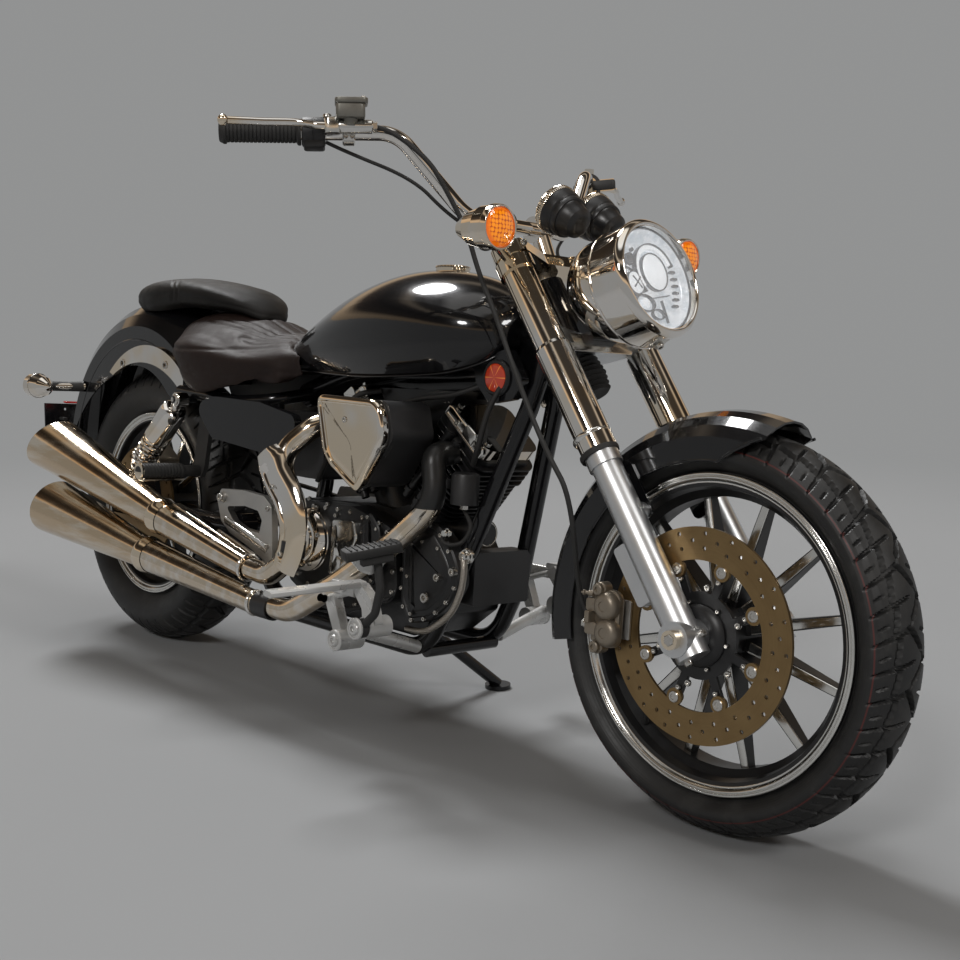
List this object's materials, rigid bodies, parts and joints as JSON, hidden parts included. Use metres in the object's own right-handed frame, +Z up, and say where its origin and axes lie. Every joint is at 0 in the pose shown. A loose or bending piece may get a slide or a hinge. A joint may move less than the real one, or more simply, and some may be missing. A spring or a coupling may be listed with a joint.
{
  "type": "cruiser motorcycle",
  "caption": "Low cruiser motorcycle with a finned V-twin engine, forward foot controls, teardrop tank, two-up seat and chrome exhausts, leaning on its side stand.",
  "frame": {"origin": "middle of the footprint box on the ground, with the machine leaning on its side stand", "axes": "+Y towards the rear, +X to the rider's left, +Z up"},
  "size_m": [0.973, 2.354, 1.0995],
  "materials": {
    "tyre": "matt",
    "black_rubber": "matt",
    "cast_black": "satin",
    "disc_steel": "brushed",
    "satin_aluminium": "satin",
    "chrome": "polished",
    "black_paint": "gloss",
    "frame_paint": "satin",
    "lens": "clear",
    "black_plastic": "satin",
    "bronze_metal": "satin",
    "seat_brown": "grained",
    "seat_black": "grained",
    "red_lens": "gloss",
    "engine_alloy": "satin",
    "engine_black": "satin"
  },
  "bodies": {
    "chassis": {"frame": "frame_paint", "swingarm": "frame_paint", "rear_axle": "chrome", "shock_absorbers": "chrome", "fuel_tank": "black_paint", "fuel_cap": "chrome", "rider_seat": "seat_brown", "pillion_seat": "seat_black", "rear_fender": "black_paint", "fender_rails": "chrome", "tail_light": "red_lens", "rear_indicators": "chrome", "plate_bracket": "frame_paint", "crankcase": "engine_black", "cylinders": "engine_black", "rocker_covers": "chrome", "engine_covers": "chrome", "air_cleaner_body": "black_plastic", "air_cleaner_shield": "chrome", "oil_filter": "black_plastic", "exhaust_pipes": "chrome", "silencers": "chrome", "side_covers": "black_paint", "electronics_box": "black_plastic", "coil_cover": "engine_black", "battery_box": "black_plastic", "pivot_castings": "engine_alloy", "forward_controls": "chrome", "foot_pedals": "black_rubber", "pillion_pegs": "black_rubber", "drive_belt": "black_rubber", "rear_caliper": "bronze_metal"},
    "steering": {"fork_sliders": "satin_aluminium", "fork_covers": "chrome", "lower_yoke": "satin_aluminium", "upper_yoke": "chrome", "handlebar": "chrome", "grips": "black_rubber", "switch_housings": "black_plastic", "brake_master_cylinder": "satin_aluminium", "hand_levers": "chrome", "headlight_shell": "chrome", "headlight_lens": "lens", "headlight_bracket": "frame_paint", "gauges": "black_plastic", "front_indicators": "chrome", "front_fender": "black_paint", "front_caliper": "bronze_metal", "front_axle": "chrome", "brake_hose": "black_rubber", "throttle_cable": "black_rubber", "clutch_cable": "black_rubber"},
    "front_wheel_body": {"front_wheel": "cast_black", "front_tyre": "tyre", "front_brake_disc": "bronze_metal"},
    "rear_wheel_body": {"rear_wheel": "cast_black", "rear_tyre": "tyre", "rear_brake_disc": "disc_steel"},
    "stand_body": {"side_stand": "frame_paint"}
  },
  "joints": [
    {"name": "steering", "type": "hinge", "parent": "chassis", "child": "steering", "pos_m": [-0.02267, -0.49114, 0.75858], "axis": [0.0704, 0.5892, 0.8049], "range_deg": [-32, 32]},
    {"name": "front_wheel_spin", "type": "hinge", "parent": "steering", "child": "front_wheel_body", "pos_m": [-0.06287, -0.87698, 0.29911], "axis": [0.9962, 0, -0.0872], "continuous": true},
    {"name": "rear_wheel_spin", "type": "hinge", "parent": "chassis", "child": "rear_wheel_body", "pos_m": [-0.06186, 0.67752, 0.31067], "axis": [0.9962, 0, -0.0872], "continuous": true},
    {"name": "side_stand_fold", "type": "hinge", "parent": "chassis", "child": "stand_body", "pos_m": [0.04126, -0.09248, 0.13541], "axis": [0.6985, -0.0612, 0.713], "range_deg": [0, 100]}
  ]
}
